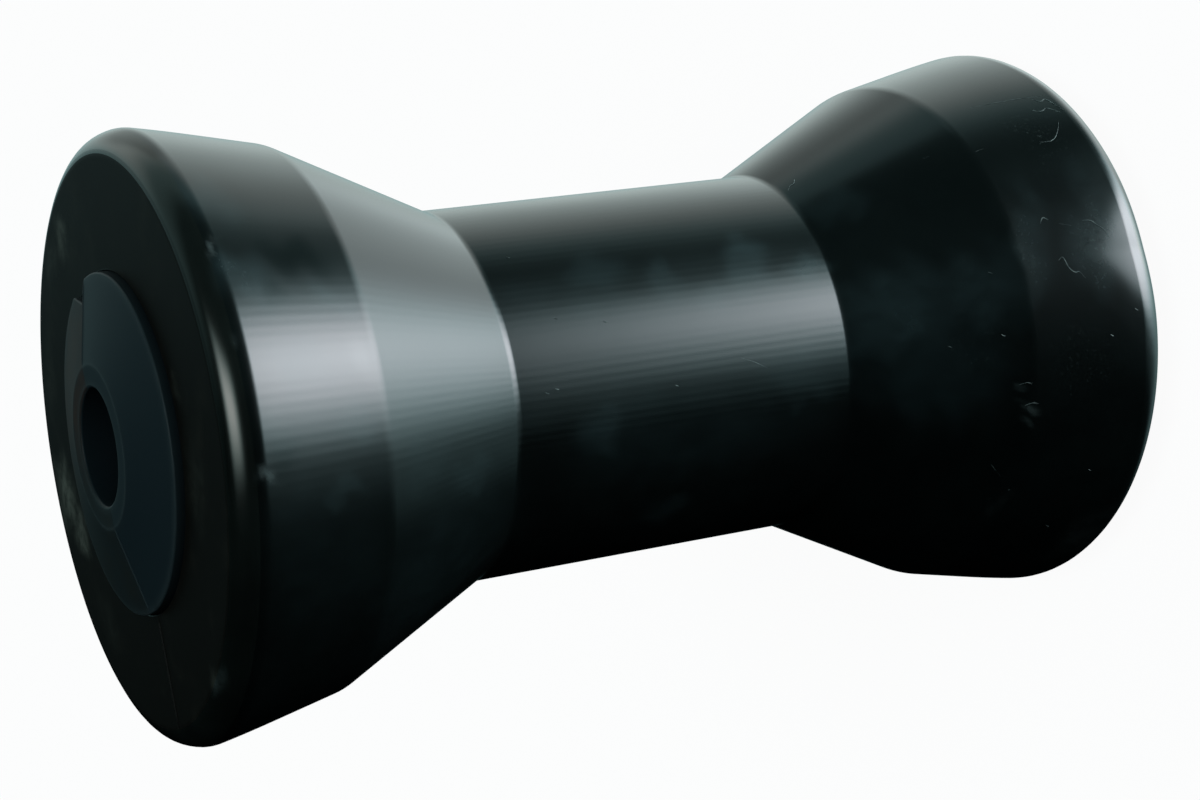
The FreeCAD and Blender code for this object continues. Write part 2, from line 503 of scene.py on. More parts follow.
@dataclass(frozen=True)
class StudioSky:
    """The photo's studio as a sky: a pale wall behind the roller, a dark front, soft boxes.

    Dim directions are tinted green-blue and bright ones are near white, and the wall is a
    little warmer than the boxes. A dark gap lies between the wall and the main box, and
    another on the left of the wall.

    The roller lies on its side in the photo and stands on its end here, so the photo's
    directions are turned with it: the main light of the photo comes from its right, which
    is below this floor. A sky can light the roller from there, and lamps could not.
    """

    view: PhotoView
    dim_tint: Triple = (0.50, 1.00, 1.03)
    bright_tint: Triple = (0.93, 1.00, 1.06)
    wall_tint: Triple = (0.91, 1.00, 0.965)
    full_tint_at: float = 12.0
    wall_tinted: Pair = (0.1, 1.2)
    wall_level: float = 0.85
    wall: float = 1.38
    front: float = 0.085
    left: Pair = (0.355, 0.545)
    wall_starts: Pair = (-0.09, 0.655)
    left_ends: Pair = (-97.0, -59.5)
    left_horizon: Pair = (-12.5, 11.7)
    left_rise: Pair = (10.0, 60.0)
    horizon: Pair = (-13.2, 36.9)
    main: SoftBox = SoftBox((59.9, 106.1), (10.6, 30.1), (10.8, 36.2), (18.4, 14.8), 16.97)
    wide: SoftBox = SoftBox((53.5, 140.0), (2.0, 14.0), (-15.2, 61.0), (6.9, 8.0), 0.334)
    fill: SoftBox = SoftBox((-54.0, -18.0), (11.0, 12.0), (-10.5, 10.5), (11.0, 10.0), 8.4)
    shelf: SoftBox = SoftBox((130.0, 170.0), (8.0, 8.0), (25.0, 44.0), (6.0, 8.0), 0.62)
    gap: SoftBox = SoftBox((88.0, 124.0), (8.0, 7.0), (51.0, 62.0), (5.0, 5.0), 0.62)
    shade: SoftBox = SoftBox((-168.0, -132.0), (9.0, 8.0), (22.0, 60.0), (8.0, 5.0), 0.5)

    def tint(self, sheet: NodeSheet, light: Socket, pale: Socket) -> Socket:
        """Colour of the light in the looked-at direction.

        It goes from dim_tint to a bright tint by the square root of light / full_tint_at,
        or by the wall's own level where that is more. The bright tint is bright_tint, and
        wall_tint by the wall's share of the light.

        Args:
            sheet: the world's nodes.
            light: all the light from there.
            pale: the wall's part of it.

        Returns:
            The colour.
        """
        level = sheet.math("SQRT", sheet.math("DIVIDE", light, self.full_tint_at), clamp=True)
        wall_level = sheet.ease(pale, *self.wall_tinted, (0.0, self.wall_level))
        share = sheet.math("DIVIDE", pale, light, clamp=True)
        bright = sheet.mix(share, self.bright_tint, self.wall_tint)
        return sheet.mix(sheet.math("MAXIMUM", level, wall_level), self.dim_tint, bright)

    def build(self) -> None:
        """Writes the sky into the world: white to camera and transmission rays, else the studio."""
        world = bpy.data.worlds.new("studio")
        bpy.context.scene.world = world
        world.use_nodes = True
        sheet = NodeSheet(world.node_tree)
        look = sheet.add("ShaderNodeTexCoord").outputs["Generated"]
        axes = (self.view.right, self.view.up, self.view.back)
        right, up, back = [sheet.dot(look, axis) for axis in axes]
        degrees = 180.0 / math.pi
        azimuth = sheet.times(sheet.math("ARCTAN2", right, back), degrees)
        elevation = sheet.times(sheet.math("ARCSINE", up), degrees)
        behind = sheet.ease(sheet.times(back, -1.0), *self.wall_starts, (self.front, self.wall))
        side = sheet.times(
            sheet.ease(azimuth, *self.left_ends, (1.0, 0.0)),
            sheet.ease(elevation, *self.left_horizon),
            sheet.ease(elevation, *self.left_rise, self.left),
        )
        pale = sheet.times(sheet.ease(elevation, *self.horizon), behind)
        light = sheet.math("MAXIMUM", pale, side)
        for box in (self.main, self.wide, self.fill, self.shelf):
            light = sheet.math("ADD", light, box.nodes(sheet, azimuth, elevation))
        for box in (self.gap, self.shade):
            kept = sheet.math("SUBTRACT", 1.0, box.nodes(sheet, azimuth, elevation))
            light = sheet.times(light, kept)
        studio = sheet.add("ShaderNodeBackground")
        sheet.feed(studio.inputs["Color"], self.tint(sheet, light, pale))
        sheet.feed(studio.inputs["Strength"], light)
        white = sheet.add("ShaderNodeBackground")
        white.inputs["Color"].default_value = (1.0, 1.0, 1.0, 1.0)
        path = sheet.add("ShaderNodeLightPath").outputs
        plain = sheet.math("MAXIMUM", path["Is Camera Ray"], path["Is Transmission Ray"])
        both = sheet.blend(plain, studio.outputs[0], white.outputs[0])
        sheet.end(both, "ShaderNodeOutputWorld")


@dataclass(frozen=True)
class PaleFloor:
    """The plain pale floor under the roller. Only the camera sees it, so it hides no light."""

    half: float = 6.0
    glow: float = 0.95
    paint: Triple = (0.95, 0.95, 0.95)

    def build(self) -> bpy.types.Object:
        """Makes the floor: part white by itself and part lit, so that a soft shadow stays.

        Returns:
            The floor's object, marked as stage.
        """
        corners = np.array([[-1, -1, 0], [1, -1, 0], [1, 1, 0], [-1, 1, 0]]) * self.half
        mesh = bpy.data.meshes.new("floor")
        mesh.from_pydata(corners.tolist(), [], [(0, 1, 2, 3)])
        floor = bpy.data.objects.new("floor", mesh)
        bpy.context.scene.collection.objects.link(floor)
        material, sheet = blank_material("pale_floor")
        lit = sheet.add("ShaderNodeBsdfDiffuse")
        lit.inputs["Color"].default_value = (*self.paint, 1.0)
        glow = sheet.add("ShaderNodeEmission")
        glow.inputs["Color"].default_value = (1.0, 1.0, 1.0, 1.0)
        sheet.end(sheet.blend(self.glow, lit.outputs[0], glow.outputs[0]))
        mesh.materials.append(material)
        floor.visible_diffuse = floor.visible_glossy = False
        floor.visible_transmission = floor.visible_shadow = False
        return floor


class MarkKind(Enum):
    """What a mark on the rubber is: a greasy fingermark with painted sheen, chalky dust, specks or
    a polished place.
    """

    PRINT = "print"
    DUST = "dust"
    SPECKLE = "speckle"
    POLISH = "polish"


@dataclass(frozen=True)
class Mark:
    """An oval patch on the unrolled side of the rubber.

    turn is in degrees from the side that faces the photo's camera, positive downwards in
    the photo; way is in mm along the section, as if its corners were sharp, from the
    seat's upper mouth. The half sizes are in the same units, slant turns the oval in
    degrees, and soft is the part of its half size over which it fades.
    """

    kind: MarkKind
    turn: float
    way: float
    half_turn: float
    half_way: float
    amount: float
    slant: float = 0.0
    soft: float = 0.8

    def strength(self, turn: Array, way: Array) -> Array:
        """Strength of the mark: its amount inside, which falls smoothly to 0 at the border.

        Args:
            turn: turns in degrees, in the mark's sense.
            way: ways in mm.

        Returns:
            The strength at each place.
        """
        slant = math.radians(self.slant)
        down = wrap(turn - self.turn)
        right = way - self.way
        across = (down * math.cos(slant) + right * math.sin(slant)) / self.half_turn
        along = (right * math.cos(slant) - down * math.sin(slant)) / self.half_way
        fall = np.clip((1.0 - np.hypot(across, along)) / self.soft, 0.0, 1.0)
        return self.amount * smooth(fall)


class Region(Enum):
    """The regions of the rubber's surface, in the order of its material slots."""

    SIDE = 0
    CORNER = 1
    SHOULDER = 2
    LIP = 3
    END = 4


@dataclass(frozen=True)
class Sheen:
    """How one region of the rubber reflects."""

    rough: float
    ior: float
    tint: Triple
    grain: float


@dataclass(frozen=True)
class RubberFinish:
    """Moulded black rubber: satin with fine lines on its side, dull on its end faces."""

    side: Triple = (0.0013, 0.0021, 0.0020)
    corner: Triple = (0.0031, 0.0042, 0.0037)
    end: Triple = (0.0040, 0.0036, 0.0030)
    end_stain: Triple = (0.0080, 0.0072, 0.0056)
    # painted sheen: fingermarks add this colour, which stands in for highlight light scattered into
    # the dark band
    painted_print_sheen: Triple = (0.0125, 0.0210, 0.0220)
    dust: Triple = (0.15, 0.185, 0.18)
    end_dust: Triple = (0.18, 0.19, 0.155)
    sheens: tuple[Sheen, ...] = (
        Sheen(0.20, 1.45, (1.0, 1.0, 1.0), 0.10),
        Sheen(0.185, 1.47, (1.0, 0.91, 0.82), 0.10),
        Sheen(0.26, 1.32, (1.0, 0.93, 0.86), 0.15),
        Sheen(0.33, 1.20, (1.0, 0.96, 0.90), 0.20),
        Sheen(0.42, 1.105, (1.0, 1.0, 0.96), 0.30),
    )
    barrel_lines: int = 150
    flange_lines: int = 188
    line_height: float = 0.0000038
    grain_height: float = 0.00002
    print_rough: float = 0.03
    polish_smooth: float = 0.10
    uneven_rough: float = 0.012
    mottle_range: Pair = (0.8, 1.25)
    print_squeeze: float = 0.4
    line_squeeze: float = 0.06
    scratch_height: float = 1.9
    stains: Pattern = Pattern(90.0, 6.0, 0.66, 0.50, 0.75)
    mottle: Pattern = Pattern(90.0, 6.0, 0.66, 0.35, 0.7)
    stain_specks: Pattern = Pattern(1300.0, 3.0, 0.7, 0.60, 0.74, (0.0, 0.3))
    print_sheen_smears: Pattern = Pattern(300.0, 3.0, 0.6, 0.2, 0.8, (0.55, 1.15))
    clouds: Pattern = Pattern(420.0, 4.0, 0.65, 0.3, 0.7, (0.35, 1.3))
    flecks: Pattern = Pattern(1500.0, 3.0, 0.65, 0.58, 0.70)
    unevenness: Pattern = Pattern(26.0, 3.0, 0.55, 0.3, 0.7)
    line_strength: Pattern = Pattern(160.0, 3.0, 0.6, 0.3, 0.75, (0.35, 1.5))

    def plain_colour(self, sheet: NodeSheet, here: Socket, region: Region) -> Socket:
        """Colour of the clean rubber: stained on the end faces, faintly mottled elsewhere."""
        if region in (Region.END, Region.LIP):
            specks = self.stain_specks.nodes(sheet, here)
            stained = sheet.math("ADD", self.stains.nodes(sheet, here), specks, True)
            return sheet.mix(stained, self.end, self.end_stain)
        plain = self.side if region is Region.SIDE else self.corner
        dark, light = (tuple(share * part for part in plain) for share in self.mottle_range)
        return sheet.mix(self.mottle.nodes(sheet, here), dark, light)

    def build(self, region: Region) -> bpy.types.Material:
        """Makes the material of one region from the mesh's masks and its Object coordinates.

        Args:
            region: the side, a strip of the rounded corners or the flat end faces.

        Returns:
            The region's material.
        """
        material, sheet = blank_material("moulded_rubber_" + region.name.lower())
        here = sheet.here()
        sheen = self.sheens[region.value]
        smeared_print_sheen = self.print_sheen_smears.nodes(sheet, sheet.stretched(here, self.print_squeeze))
        prints_and_sheen = sheet.math("MULTIPLY", sheet.attribute("print"), smeared_print_sheen, True)
        flecked = self.flecks.nodes(sheet, here)
        specks = sheet.math("MULTIPLY", sheet.attribute("speckle"), flecked, True)
        cloudy = sheet.times(sheet.attribute("dust"), self.clouds.nodes(sheet, here))
        dusty = sheet.math("ADD", cloudy, specks, True)
        dust = self.end_dust if region in (Region.END, Region.LIP) else self.dust
        # fingermarks add painted sheen to the colour, and a little real roughness below
        colour_with_print_sheen = sheet.mix(prints_and_sheen, self.plain_colour(sheet, here, region), self.painted_print_sheen)
        shader = sheet.add("ShaderNodeBsdfPrincipled")
        sheet.feed(shader.inputs["Base Color"], sheet.mix(dusty, colour_with_print_sheen, dust))
        either_way = (sheen.rough - self.uneven_rough, sheen.rough + self.uneven_rough)
        even = self.unevenness.nodes(sheet, here, either_way)
        rough = sheet.math("ADD", even, sheet.times(prints_and_sheen, self.print_rough))
        rubbed = sheet.times(sheet.attribute("polish"), self.polish_smooth)
        sheet.feed(shader.inputs["Roughness"], sheet.math("SUBTRACT", rough, rubbed, True))
        shader.inputs["IOR"].default_value = sheen.ior
        shader.inputs["Specular Tint"].default_value = (*sheen.tint, 1.0)
        lined = None
        if region is Region.SIDE:
            lined = sheet.bump(self.lines(sheet, here), 1.0, self.line_height)
        pebbles = sheet.noise(here, 900.0, 3.0, 0.6)
        grained = sheet.bump(pebbles, sheen.grain, self.grain_height, lined)
        sheet.feed(shader.inputs["Normal"], grained)
        sheet.end(shader.outputs[0])
        return material

    def lines(self, sheet: NodeSheet, here: Socket) -> Socket:
        """Height of the fine lines: a sine of the turn, in whole waves a turn, uneven in strength.

        Args:
            sheet: the material's nodes.
            here: Object coordinates.

        Returns:
            The height from -1 to 1.
        """
        x, y, _ = sheet.axes(here)
        turn = sheet.math("ARCTAN2", y, x)
        lines = sheet.add("ShaderNodeMix", data_type="FLOAT")
        sheet.feed(lines.inputs[0], sheet.attribute("barrel"))
        for index, waves in ((2, self.flange_lines), (3, self.barrel_lines)):
            sheet.feed(lines.inputs[index], sheet.math("SINE", sheet.times(turn, float(waves))))
        drawn = sheet.stretched(here, self.line_squeeze)
        height = sheet.times(lines.outputs[0], self.line_strength.nodes(sheet, drawn))
        scratches = sheet.times(sheet.noise(drawn, 900.0, 3.0, 0.6), self.scratch_height)
        return sheet.times(sheet.math("ADD", height, scratches), sheet.attribute("lined"))


@dataclass(frozen=True)
class LintFinish:
    """Pale grey textile fluff."""

    thin: Triple = (0.035, 0.046, 0.046)
    thick: Triple = (0.20, 0.235, 0.225)
    roughs: Pair = (0.6, 0.85)
    ior: float = 1.3
    fluff: Pattern = Pattern(700.0, 3.0, 0.6, 0.35, 0.65)

    def build(self) -> bpy.types.Material:
        """Makes the fluff's material, uneven along each fibre.

        Returns:
            The lint's material.
        """
        material, sheet = blank_material("lint")
        shader = sheet.add("ShaderNodeBsdfPrincipled")
        uneven = self.fluff.nodes(sheet, sheet.here())
        sheet.feed(shader.inputs["Base Color"], sheet.mix(uneven, self.thin, self.thick))
        sheet.feed(shader.inputs["Roughness"], sheet.ease(uneven, 0.0, 1.0, self.roughs))
        shader.inputs["IOR"].default_value = self.ior
        sheet.end(shader.outputs[0])
        return material


class CoreHalf(Enum):
    """The halves of the core's faces, in the order of its material slots."""

    NEAR = 0
    FAR = 1


@dataclass(frozen=True)
class CoreFinish:
    """Matte blue-black moulded plastic, paler and mottled on the half beyond the parting plane,
    with painted highlight lines on its edges and painted shade in its bore and pocket.
    """

    near: Triple = (0.0072, 0.0120, 0.0145)
    far: Triple = (0.0225, 0.0130, 0.0100)
    far_grey: Triple = (0.0095, 0.0115, 0.0110)
    # painted highlight: a lighter colour on the bore's mouth, the land, the rim and the parting
    # ridge
    painted_edge_highlight: Triple = (0.026, 0.034, 0.035)
    # painted shade: near-black colour inside the bore and the short-moulded pocket
    shade: Triple = (0.0003, 0.0006, 0.0014)
    roughs: Pair = (0.46, 0.9)
    iors: Pair = (1.16, 1.11)
    greying: Pair = (-0.012, 0.010)
    mottle: Pattern = Pattern(160.0, 5.0, 0.65, 0.2, 0.75, (0.35, 1.0))
    edge_highlight_breakup: Pattern = Pattern(160.0, 5.0, 0.65, 0.1, 0.8, (0.6, 1.0))
    grain: float = 0.25
    grain_height: float = 0.00003

    def build(self, part: CoreHalf) -> bpy.types.Material:
        """Makes the material of one half from the mesh's own masks and its Object coordinates.

        Args:
            part: the half.

        Returns:
            The half's material.
        """
        material, sheet = blank_material("moulded_plastic_" + part.name.lower())
        here = sheet.here()
        mottled = sheet.times(sheet.attribute("far_half"), self.mottle.nodes(sheet, here))
        greyed = sheet.mix(sheet.ease(sheet.axes(here)[0], *self.greying), self.far, self.far_grey)
        # painted edge highlight, broken up by noise
        wear_and_edge_highlight = sheet.times(sheet.attribute("painted_edge_highlight"), self.edge_highlight_breakup.nodes(sheet, here))
        base = sheet.mix(wear_and_edge_highlight, sheet.mix(mottled, self.near, greyed), self.painted_edge_highlight)
        # painted shade in the bore and the pocket, which are also made rougher
        recess_shade = sheet.attribute("painted_recess_shade")
        shader = sheet.add("ShaderNodeBsdfPrincipled")
        sheet.feed(shader.inputs["Base Color"], sheet.mix(recess_shade, base, self.shade))
        sheet.feed(shader.inputs["Roughness"], sheet.ease(recess_shade, 0.0, 1.0, self.roughs))
        shader.inputs["IOR"].default_value = self.iors[part.value]
        grain = sheet.noise(here, 1500.0, 2.0, 0.5)
        sheet.feed(shader.inputs["Normal"], sheet.bump(grain, self.grain, self.grain_height))
        sheet.end(shader.outputs[0])
        return material


class Node(Enum):
    """The CAD solids that the dressed pieces stand for."""

    RUBBER = "rubber_body"
    CORE = "plastic_core"


class Slot(Enum):
    """The record's material slots."""

    RUBBER = "rubber"
    PLASTIC = "core_plastic"


def place_piece(
    name: str,
    mesh: bpy.types.Mesh,
    materials: list[bpy.types.Material],
    node: Node | None = None,
) -> bpy.types.Object:
    """Puts a mesh into the scene as a piece of the roller.

    Args:
        name: the piece's name.
        mesh: its mesh, in place.
        materials: its finishes, in the order of their slots.
        node: the CAD solid it stands for, if any.

    Returns:
        The piece's object.
    """
    for material in materials:
        mesh.materials.append(material)
    piece = bpy.data.objects.new(name, mesh)
    bpy.context.scene.collection.objects.link(piece)
    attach(piece, "root")
    if node is not None:
        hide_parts(node.value)
    LOG.info("%s: %d faces", name, len(mesh.polygons))
    return piece


@dataclass(frozen=True)
class RollerSizes:
    """Heights and radii shared by the rubber and the core, in mm."""

    height: float = 200.0
    end: float = 195.0
    barrel_r: float = 35.0
    flank: float = 31.0
    flank_angle: float = 26.2
    flange: float = 29.0
    flange_taper: float = 12.1
    hub_r: float = 30.5
    tube_r: float = 19.5
    disc_back: float = 186.0
    tube_top: float = 178.0

    @property
    def edge_r(self) -> float:
        """Radius of the edge between flank and flange."""
        return self.barrel_r + self.flank * math.tan(math.radians(self.flank_angle))

    @property
    def end_r(self) -> float:
        """Radius where the flange would meet the end face without a round."""
        return self.edge_r + self.flange * math.tan(math.radians(self.flange_taper))


@dataclass(frozen=True)
class WornRim:
    """A worn place on the rim of the lower flange, a shallow valley that dips to the rim.

    With x the way past its start in mm and y the turn from its middle line in degrees, it
    is slope * (x - spread * |y|) deep where that is positive. It is softened at its borders
    and on its middle line, and it comes back to nothing round the corner.
    """

    turn: float = -9.5
    start: float = 210.8
    slope: float = 0.10
    spread: float = 0.72
    rim: float = 219.8
    back: float = 8.0
    soft: float = 0.20
    blunt: float = 0.8
    level_at: float = 6.0
    back_power: float = 1.5

    def depth(self, turn: Array, way: Array) -> Array:
        """Depth in mm under the moulded surface.

        Args:
            turn: turns in degrees from the side that faces the photo's camera.
            way: ways along the sharp section in mm.

        Returns:
            The depth at each place.
        """
        past = np.minimum(way, self.rim) - self.start
        side = np.hypot(wrap(turn - self.turn), self.blunt)
        plane = self.slope * (past - self.spread * side)
        level = 0.5 * (np.hypot(self.level_at, self.soft) - self.level_at)
        dip = 0.5 * (plane + np.hypot(plane, self.soft)) - level
        dip = np.where(plane > -3.0 * self.soft, np.maximum(dip, 0.0), 0.0)
        return dip * (1.0 - np.clip((way - self.rim) / self.back, 0.0, 1.0)) ** self.back_power


@dataclass(frozen=True)
class RubberBody:
    """The rubber moulding: flanges, flanks and barrel outside, the seat of the core inside."""

    sizes: RollerSizes = RollerSizes()
    corner_round: float = 5.0
    edge_round: float = 8.0
    mouth_round: float = 0.35
    foot_round: float = 3.5
    lead_depth: float = 0.36
    lead: Pair = (3.0, 18.0)
    lead_power: float = 2.5
    lead_back: float = 6.2
    ridge_at: float = -2.5
    ridge_height: float = 0.25
    ridge_width: float = 0.22
    ridge_fade: float = 4.0
    columns: int = 440
    front: float = 80.0
    corner_from: float = 88.0
    lip_lean: float = 0.985
    shoulder_lean: float = 0.94
    barrel_half: float = 35.5
    wear_and_edge_highlight: WornRim = WornRim()

    def profile(self) -> Profile:
        """The section from the seat's upper mouth, over the outside, and back through the seat."""
        s = self.sizes
        outside = [
            Corner(s.hub_r, s.end, self.mouth_round, 3),
            Corner(s.end_r, s.end, self.corner_round, 12),
            Corner(s.edge_r, s.end - s.flange, self.edge_round, 4),
            Corner(s.barrel_r, s.end - s.flange - s.flank, self.foot_round, 4),
        ]
        mirror = [Corner(c.r, s.height - c.z, c.round, c.steps) for c in reversed(outside)]
        inside = [
            Corner(s.hub_r, s.height - s.disc_back),
            Corner(s.tube_r, s.height - s.tube_top),
            Corner(s.tube_r, s.tube_top),
            Corner(s.hub_r, s.disc_back),
        ]
        steps = [1.6] * 3 + [1.7] + [1.6] * 3 + [4.0, 6.0, 40.0, 6.0, 4.0]
        return turned_profile(outside + mirror + inside, steps)

    def sharp_way(self, along: Array) -> Array:
        """Way along the sharp section at each way along the rounded one.

        A corner of radius q and turn t saves q (2 tan(t / 2) - t); the upper end's corner
        is the only one that saves more than a few hundredths.

        Args:
            along: ways along the rounded section in mm.

        Returns:
            Ways along the sharp section in mm.
        """
        turn = math.radians(90.0 + self.sizes.flange_taper)
        starts = self.sizes.end_r - self.sizes.hub_r - self.corner_round * math.tan(turn / 2)
        saved = self.corner_round * (2 * math.tan(turn / 2) - turn)
        return along + saved * np.clip((along - starts) / (self.corner_round * turn), 0.0, 1.0)

    def lead_in(self, way: Array) -> Array:
        """Depth by which each flange curves in towards its outer corner.

        With d the way back from the sharp corner, it is lead_depth * ((far - d) / (far -
        near)) ** lead_power along the flange, and round the corner it eases back to 0.

        Args:
            way: ways along the sharp section in mm.

        Returns:
            The depth at each way in mm.
        """
        s = self.sizes
        near, far = self.lead
        first = s.end_r - s.hub_r
        sloped = math.hypot(s.flange, s.edge_r - s.end_r)
        sloped += math.hypot(s.flank, s.edge_r - s.barrel_r)
        last = first + 2 * sloped + 2 * s.end - s.height - 2 * s.flange - 2 * s.flank
        back = np.minimum(way - first, last - way)
        along = np.clip((far - back) / (far - near), 0.0, 1.0) ** self.lead_power
        ease = np.clip((back + self.lead_back) / (near + self.lead_back), 0.0, 1.0)
        return self.lead_depth * along * smooth(ease)

    def surface(self, turn: Array, way: Array) -> tuple[Array, Array]:
        """Places and outward normals of the moulded surface.

        Args:
            turn: turns in degrees from the side that faces the photo's camera.
            way: ways along the sharp section in mm.

        Returns:
            (count, 3) places in mm and unit normals.
        """
        path = self.profile()
        sharp = self.sharp_way(path.along)
        section = (path.r, path.z, path.nr, path.nz)
        r, z, nr, nz = (np.interp(way, sharp, values) for values in section)
        angle = np.radians(self.front - turn)
        cos, sin = np.cos(angle), np.sin(angle)
        normals = unit(np.stack([nr * cos, nr * sin, nz], axis=-1))
        sunk = self.lead_in(way) + self.wear_and_edge_highlight.depth(turn, way)
        return np.stack([r * cos, r * sin, z], axis=-1) - normals * sunk[..., None], normals

    def mesh(self, marks: tuple[Mark, ...]) -> bpy.types.Mesh:
        """The moulding as one closed surface of turn and way along the section.

        It is raised by the thin moulding ridge on each end face, and sunk by the lead-in of
        the flanges and the worn rim.

        Args:
            marks: the marks to store as masks.

        Returns:
            The mesh with its masks.
        """
        s, path = self.sizes, self.profile()
        angle = turning_angles(self.columns, (self.ridge_at, 180.0))
        section = tuple(values[:, None] for values in (path.r, path.z, path.nr, path.nz))
        r, nz = section[0], section[3]
        turn = (self.front - np.degrees(angle))[None] + 0.0 * r
        way = self.sharp_way(path.along)[:, None] + 0.0 * turn
        lower_mouth = np.argmax((path.nz < -0.999) & (path.r < s.hub_r + 0.6))
        outside = (path.along < path.along[lower_mouth])[:, None]
        on_end = (np.abs(nz) > 0.75) & (r > s.hub_r + 0.5)
        arc = np.radians(wrap(np.degrees(angle) - self.ridge_at))[None] * r
        ridge = np.where(on_end, self.ridge_height * bell(arc, 0.0, self.ridge_width), 0.0)
        fade = np.clip((s.end_r - self.ridge_fade - r) / self.ridge_fade, 0.0, 1.0)
        fade = fade * np.clip(r - s.hub_r - 0.5, 0.0, 1.0)
        sunk = (self.wear_and_edge_highlight.depth(turn, way) + self.lead_in(way)) * outside
        raised = ridge * fade - sunk
        mesh = turned_mesh("rubber_moulding", angle, section, raised, path.along, s.height)
        slots = np.repeat(self.regions(path), len(angle)).astype(np.int32)
        mesh.polygons.foreach_set("material_index", slots)
        on_barrel = np.abs(path.z - s.height / 2) < self.barrel_half
        put_attribute(mesh, "barrel", on_barrel[:, None] + 0.0 * turn)
        put_attribute(mesh, "lined", self.lined(path.z[:, None], turn))
        wavy_turn = turn + 1.6 * np.sin(0.8 * way + 2.0 * np.sin(turn / 6.0))
        wavy_way = way + 0.8 * np.sin(turn / 2.6 + 1.3 * np.sin(way / 5.0))
        for kind in MarkKind:
            total = np.zeros_like(turn)
            for mark in marks:
                if mark.kind is kind:
                    total = np.maximum(total, mark.strength(wavy_turn, wavy_way))
            put_attribute(mesh, kind.value, total * outside)
        return mesh

    def regions(self, path: Profile) -> Array:
        """Material slot of the faces that start at each station.

        Args:
            path: the section.

        Returns:
            The slots, by how far the surface leans towards an end face.
        """
        s = self.sizes
        flat_end = (np.abs(path.nz) > 0.9995) & (path.r > s.hub_r)
        near_end = np.abs(path.z - s.height / 2) > self.corner_from
        corner = near_end & (path.r > s.hub_r + 1.0) & (np.abs(path.nz) > 0.25)
        leans = np.abs(0.5 * (path.nz + np.roll(path.nz, -1)))
        chosen = (
            (flat_end, Region.END),
            (corner & (leans > self.lip_lean), Region.LIP),
            (corner & (leans > self.shoulder_lean), Region.SHOULDER),
            (corner, Region.CORNER),
        )
        places, slots = zip(*chosen)
        return np.select(places, [slot.value for slot in slots], Region.SIDE.value)

    def lined(self, z: Array, turn: Array) -> Array:
        """How strongly the moulding lines show: most on the barrel and towards the camera."""
        heights = [5.0, 64.0, 66.0, 134.0, 136.0, 195.0]
        by_height = np.interp(z, heights, [0.2, 0.2, 1.0, 1.0, 0.45, 0.45])
        near = 0.75 * bell(np.cos(np.radians(turn - 8.0)), 1.0, 0.25)
        far = 0.4 * bell(np.cos(np.radians(turn - 190.0)), 1.0, 0.5)
        return by_height * (0.25 + near + far)

    def build(self, finish: RubberFinish, marks: tuple[Mark, ...]) -> bpy.types.Object:
        """Makes the piece that stands for the CAD rubber."""
        materials = [finish.build(region) for region in Region]
        return place_piece("rubber_moulding", self.mesh(marks), materials, Node.RUBBER)


@dataclass(frozen=True)
class Fibre:
    """A fibre that lies on the rubber: its bends as (turn, way) pairs and its thickness in mm."""

    bends: tuple[Pair, ...]
    thick: float = 0.12

    def tube(self, body: RubberBody) -> tuple[Array, Array]:
        """A closed four-sided tube along the fibre, tapered to both ends.

        The bends are rounded by cutting each leg at a quarter and three quarters three
        times over. A ring's corner k is the point plus q (n cos k + b sin k), where n is
        the surface's normal, b is the tangent crossed with it, and q is half the thickness.

        Args:
            body: the rubber that it lies on.

        Returns:
            The vertices in metres and the faces as rows of four vertex numbers.
        """
        line = np.array(self.bends, float)
        for _ in range(3):
            near = 0.75 * line[:-1] + 0.25 * line[1:]
            beyond = 0.25 * line[:-1] + 0.75 * line[1:]
            inner = np.stack([near, beyond], axis=1).reshape(-1, 2)
            line = np.concatenate([line[:1], inner[1:-1], line[-1:]])
        place, normal = body.surface(line[:, 0], line[:, 1])
        part = np.linspace(0, 1, len(line))
        taper = np.minimum(1.0, 0.35 + 3.0 * np.minimum(part, part[::-1]))
        half = (0.5 * self.thick * taper)[:, None]
        centre = place + normal * half * 0.9
        side = unit(np.cross(unit(np.gradient(centre, axis=0)), normal))
        k = (np.arange(4) * (math.pi / 2))[None, :, None]
        swing = normal[:, None] * np.cos(k) + side[:, None] * np.sin(k)
        ring = centre[:, None] + half[:, None] * swing
        i, j = np.meshgrid(np.arange(len(line) - 1), np.arange(4), indexing="ij")
        near, right = 4 * i, (j + 1) % 4
        wall = np.stack([near + j, near + right, near + 4 + right, near + 4 + j], axis=-1)
        last = 4 * (len(line) - 1)
        caps = np.array([[3, 2, 1, 0], [last, last + 1, last + 2, last + 3]])
        return ring.reshape(-1, 3) * MM, np.concatenate([wall.reshape(-1, 4), caps])


@dataclass(frozen=True)
class Lint:
    """The few pale fibres and specks that cling to the rubber in the photo."""

    fibres: tuple[Fibre, ...]

    def build(self, body: RubberBody, finish: LintFinish) -> bpy.types.Object:
        """Makes all the fibres as one piece.

        Args:
            body: the rubber that they lie on.
            finish: their finish.

        Returns:
            The lint's object.
        """
        places, faces, count = [], [], 0
        for fibre in self.fibres:
            corners, rows = fibre.tube(body)
            first = corners[rows[:, 2]] - corners[rows[:, 0]]
            own = np.cross(first, corners[rows[:, 3]] - corners[rows[:, 1]])
            middle = corners[rows].mean(1)
            ring = corners.reshape(-1, 4, 3).mean(1)
            nearest = np.linalg.norm(middle[:, None] - ring[None], axis=2).argmin(1)
            outward = (own[:-2] * (middle - ring[nearest])[:-2]).sum()
            places.append(corners)
            faces.append((rows if outward > 0 else rows[:, ::-1]) + count)
            count += len(corners)
        mesh = bpy.data.meshes.new("lint")
        mesh.from_pydata(np.concatenate(places).tolist(), [], np.concatenate(faces).tolist())
        mesh.validate()
        return place_piece("lint", mesh, [finish.build()])


